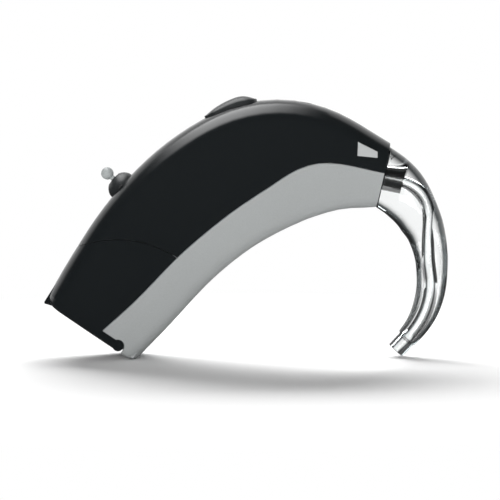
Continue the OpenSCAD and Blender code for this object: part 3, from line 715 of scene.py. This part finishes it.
def hook_rings(line):
    """All rings of the hook: out along its skin, round the spigot, and back through the bore."""
    sizes, count, steps, bore_steps = line.sizes, 96, 150, 60
    sweep = line.length - sizes.spigot_length
    quarter = [math.radians(turn) for turn in (0, 30, 60, 90)]
    turned = [(sizes.edge * (1 - math.cos(g)), sizes.edge * (1 - math.sin(g))) for g in quarter]
    rings = [line.ring(sizes.face_gap + low, high, count) for low, high in turned]
    first, last = sizes.face_gap + sizes.edge, sweep - sizes.edge
    rings += [line.ring(first + (last - first) * i / steps, 0, count) for i in range(1, steps + 1)]
    rings += [line.ring(sweep - high, low, count) for low, high in turned[1:]]

    def round_ring(distance, radius):
        return round_section(*line.at(distance), radius, count)

    spigot, bore, end = sizes.spigot_radius, sizes.bore_radius, line.length
    rings += [round_ring(sweep + low, spigot + high) for low, high in turned]
    rings += [round_ring(end - high, spigot - low) for low, high in turned]
    rings += [round_ring(end - low, bore + high) for low, high in turned]
    inside = end - sizes.straight
    narrow = bore - sizes.bore_step
    rings.append(round_ring(inside, bore))
    start, bottom = inside - sizes.edge, sizes.socket_depth
    rings += [round_ring(start + (bottom - start) * i / bore_steps, narrow) for i in range(bore_steps + 1)]
    forward = Vector((math.cos(line.heading), 0, math.sin(line.heading)))
    rings += [
        round_section(line.start + forward * depth, line.heading, sizes.socket_radius, count)
        for depth in (bottom, sizes.face_gap)
    ]
    return rings


class HEARING_OT_ear_hook(bpy.types.Operator):
    """Builds the clear ear hook and finishes the nozzle inside it"""

    bl_idname = "hearing.ear_hook"
    bl_label = "Ear hook"

    def execute(self, context):
        colours = context.scene.hearing_colours
        rings = hook_rings(HookLine(context.scene.hearing_hook))
        corners = [point for ring in rings for point in ring]
        hook = new_object("clear_hook", corners, ring_faces(rings, True))
        keep_creases(hook, 50)
        # The hook's plastic carries a painted shade at its glancing edges
        dress(hook, clear_plastic("clear_plastic", colours.clear, colours.clear_edge))
        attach(hook, "hook")
        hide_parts("ear_hook")
        nozzle = moulded("nozzle_black", colours.black, 0.4, grain=0.1, wear=0.1)
        carry_over(["hook_nozzle"], nozzle)
        return {"FINISHED"}


class HEARING_OT_inner_parts(bpy.types.Operator):
    """Finishes the cell, the contacts and everything inside the casing"""

    bl_idname = "hearing.inner_parts"
    bl_label = "Inner parts"

    def execute(self, context):
        colours = context.scene.hearing_colours
        steel = moulded("bright_steel", colours.steel, 0.25, grain=0.08, wear=0.2, Metallic=1)
        cans = moulded("drawn_can", colours.steel, 0.35, grain=0.1, Metallic=1)
        mesh = moulded("port_mesh", colours.frame, 0.5, grain=0.6, grains=9000, bump=0.5, Metallic=0.7)
        gold = moulded("gold_plate", colours.gold, 0.25, grain=0.05, Metallic=1)
        inner = moulded("frame_plastic", colours.frame, 0.5, grain=0.2, bump=0.15)
        rubber = moulded("soft_rubber", colours.rubber, 0.65, grain=0.2, bump=0.2)
        board = moulded("board_mask", colours.board, 0.35, grain=0.3, grains=2500)
        chip = moulded("chip_package", colours.rubber, 0.5, grain=0.25)
        copper = moulded("coil_winding", colours.copper, 0.35, grain=0.3, Metallic=0.8)
        carry_over(["battery_cell"], steel)
        carry_over(["hinge_pin", "lever_pin", "frame_screws"], steel)
        carry_over(["plus_contact", "minus_contact"], gold)
        carry_over(["front_microphone", "rear_microphone", "receiver"], cans)
        carry_over(["microphone_screens"], mesh)
        carry_over(["microphone_boots", "receiver_boot", "sound_tube"], rubber)
        carry_over(["chassis_frame", "program_switch", "volume_sensor"], inner)
        carry_over(["circuit_board"], board)
        carry_over(["processor_chip"], chip)
        carry_over(["telecoil"], copper)
        return {"FINISHED"}


# Stage

# Distances from the middle over which the floor fades to plain white: for the camera, and as seen through
# the hook, where it starts at a low level
FADE_SEEN, FADE_THROUGH, LEVEL_THROUGH = (45 * MM, 80 * MM), (20 * MM, 160 * MM), 0.25
# Y of the direction in which the room's light starts and is full: as mirrored, and as seen through the hook
ROOM_MIRRORED, ROOM_THROUGH = (0.1, 0.5), (0.7, 0.98)


def floor_material(stage):
    """White paper that keeps the shadow near the object and fades to plain white further out."""
    material, tree, principled = new_material("white_floor")
    link = tree.links.new
    principled.inputs["Base Color"].default_value = (0.9, 0.9, 0.9, 1)
    principled.inputs["Roughness"].default_value = 0.9
    principled.inputs["Specular IOR Level"].default_value = 0
    path = add_node(tree, "ShaderNodeLightPath")
    place = add_node(tree, "ShaderNodeTexCoord")
    far = add_node(tree, "ShaderNodeVectorMath", operation="LENGTH")
    link(place.outputs["Object"], far.inputs[0])
    through = grade(tree, far.outputs["Value"], *FADE_THROUGH, LEVEL_THROUGH)
    faded = grade(tree, far.outputs["Value"], *FADE_SEEN)
    mirrored = by_ray(tree, path, "Is Glossy Ray", 1, stage.dim)
    strength = by_ray(tree, path, "Is Transmission Ray", mirrored, through)
    amount = by_ray(tree, path, "Is Camera Ray", by_ray(tree, path, "Is Glossy Ray", 0, 1), faded)
    glow = add_node(tree, "ShaderNodeEmission")
    link(strength, glow.inputs["Strength"])
    mix = add_node(tree, "ShaderNodeMixShader")
    link(amount, mix.inputs[0])
    link(principled.outputs[0], mix.inputs[1])
    link(glow.outputs[0], mix.inputs[2])
    link(mix.outputs[0], tree.nodes["Material Output"].inputs["Surface"])
    return material


def studio_world(stage):
    """A room that is white straight behind, dim in front, and dark beside as seen through the hook."""
    world = bpy.data.worlds.new("studio")
    world.use_nodes = True
    tree = world.node_tree
    tree.nodes.clear()
    link = tree.links.new
    path = add_node(tree, "ShaderNodeLightPath")
    place = add_node(tree, "ShaderNodeTexCoord")
    split = add_node(tree, "ShaderNodeSeparateXYZ")
    link(place.outputs["Generated"], split.inputs[0])
    either_way = add_node(tree, "ShaderNodeMath", operation="ABSOLUTE")
    link(split.outputs["Y"], either_way.inputs[0])
    mirrored = grade(tree, split.outputs["Y"], *ROOM_MIRRORED, stage.dim)
    through = grade(tree, either_way.outputs[0], *ROOM_THROUGH, stage.surround)
    level = by_ray(tree, path, "Is Glossy Ray", stage.fill, mirrored)
    level = by_ray(tree, path, "Is Transmission Ray", level, through)
    level = by_ray(tree, path, "Is Camera Ray", level, 1)
    room = add_node(tree, "ShaderNodeBackground", in_Color=(1, 1, 1, 1))
    link(level, room.inputs["Strength"])
    result = add_node(tree, "ShaderNodeOutputWorld")
    link(room.outputs[0], result.inputs["Surface"])
    return world


def flat_sheet(name, left, right, near, far, height):
    """A level rectangle between four edges."""
    corners = [(left, near, height), (right, near, height), (right, far, height), (left, far, height)]
    return new_object(name, corners, [(0, 1, 2, 3)])


def add_softbox(name, place, target, size, radiance):
    """A rectangular lamp that faces the target, glows evenly and isn't mirrored."""
    data = bpy.data.lights.new(name, "AREA")
    data.shape = "RECTANGLE"
    data.size, data.size_y = size
    data.energy = radiance * size[0] * size[1] * math.pi
    lamp = bpy.data.objects.new(name, data)
    lamp.location = place
    lamp.rotation_euler = (Vector(target) - Vector(place)).to_track_quat("-Z", "Y").to_euler()
    lamp.visible_camera = False
    lamp.visible_glossy = False
    bpy.context.scene.collection.objects.link(lamp)


# Edges of the overhead softbox in metres, its height, and where its glow fades in along X and Y
SOFTBOX_LEFT, SOFTBOX_RIGHT = -0.28, 0.13
SOFTBOX_NEAR, SOFTBOX_FAR = -0.3, 0.18
SOFTBOX_HEIGHT = 0.3
SOFTBOX_FADES = (("X", SOFTBOX_LEFT, -0.14), ("X", SOFTBOX_RIGHT, -0.07), ("Y", SOFTBOX_NEAR, -0.11))

# Places and sizes of the two lamps in metres, and half the floor's width
BACK_PLACE, BACK_SIZE = (-0.02, 0.27, 0.265), (0.36, 0.1)
FRONT_PLACE, FRONT_SIZE = (-0.03, -0.36, 0.07), (0.3, 0.18)
FLOOR_HALF = 0.6


def softbox_material(radiance):
    """A glow that fades towards the left, right and near edges, so that its mirror image is soft."""
    material = bpy.data.materials.new("softbox")
    material.use_nodes = True
    tree = material.node_tree
    tree.nodes.clear()
    link = tree.links.new
    place = add_node(tree, "ShaderNodeTexCoord")
    split = add_node(tree, "ShaderNodeSeparateXYZ")
    link(place.outputs["Object"], split.inputs[0])
    level = None
    for label, start, end in SOFTBOX_FADES:
        product = add_node(tree, "ShaderNodeMath", operation="MULTIPLY", in_1=radiance)
        link(grade(tree, split.outputs[label], start, end), product.inputs[0])
        if level:
            link(level, product.inputs[1])
        level = product.outputs[0]
    glow = add_node(tree, "ShaderNodeEmission")
    link(level, glow.inputs["Strength"])
    result = add_node(tree, "ShaderNodeOutputMaterial")
    link(glow.outputs[0], result.inputs["Surface"])
    return material


class HEARING_OT_stage(bpy.types.Operator):
    """Sets the floor, the lamps, the room and the camera"""

    bl_idname = "hearing.stage"
    bl_label = "Stage"

    def execute(self, context):
        scene = context.scene
        stage = scene.hearing_stage
        floor = flat_sheet("floor", -FLOOR_HALF, FLOOR_HALF, -FLOOR_HALF, FLOOR_HALF, 0)
        floor.data.materials.append(floor_material(stage))
        middle = Vector((stage.middle_x, 0, stage.middle_z))
        band = flat_sheet(
            "overhead_softbox", SOFTBOX_LEFT, SOFTBOX_RIGHT, SOFTBOX_NEAR, SOFTBOX_FAR, SOFTBOX_HEIGHT
        )
        band.data.materials.append(softbox_material(stage.band))
        band.visible_camera = False
        band.visible_diffuse = False
        band.visible_transmission = False
        band.visible_shadow = False
        add_softbox("back_softbox", BACK_PLACE, middle, BACK_SIZE, stage.key)
        add_softbox("front_softbox", FRONT_PLACE, middle, FRONT_SIZE, stage.front)
        scene.world = studio_world(stage)
        data = bpy.data.cameras.new("camera")
        data.lens = stage.lens
        distance = stage.view_width * stage.lens / data.sensor_width
        camera = bpy.data.objects.new("camera", data)
        outward = Vector((0, -math.cos(stage.view_height), math.sin(stage.view_height)))
        camera.location = middle + outward * distance
        camera.rotation_euler = (math.pi / 2 - stage.view_height, 0, 0)
        scene.collection.objects.link(camera)
        scene.camera = camera
        scene.view_settings.view_transform = "Standard"
        return {"FINISHED"}


STEPS = (
    HEARING_OT_casing,
    HEARING_OT_controls,
    HEARING_OT_ear_hook,
    HEARING_OT_inner_parts,
    HEARING_OT_stage,
)


class HEARING_PT_panel(bpy.types.Panel):
    """Lists the pieces of the hearing aid and its stage"""

    bl_idname = "HEARING_PT_panel"
    bl_label = "Hearing aid"
    bl_space_type = "VIEW_3D"
    bl_region_type = "UI"
    bl_category = "Hearing aid"

    def draw(self, context):
        for step in STEPS:
            self.layout.operator(step.bl_idname)


GROUPS = {
    "hearing_hook": HookSizes,
    "hearing_controls": ControlSizes,
    "hearing_colours": FinishColours,
    "hearing_stage": StageSettings,
}
CLASSES = (*GROUPS.values(), *STEPS, HEARING_PT_panel)


def register():
    for cls in CLASSES:
        bpy.utils.register_class(cls)
    for name, cls in GROUPS.items():
        setattr(bpy.types.Scene, name, bpy.props.PointerProperty(type=cls))


def unregister():
    for name in GROUPS:
        delattr(bpy.types.Scene, name)
    for cls in reversed(CLASSES):
        bpy.utils.unregister_class(cls)


def main():
    register()
    bpy.ops.hearing.casing()
    bpy.ops.hearing.controls()
    bpy.ops.hearing.ear_hook()
    bpy.ops.hearing.inner_parts()
    bpy.ops.hearing.stage()


if __name__ == "__main__":
    main()
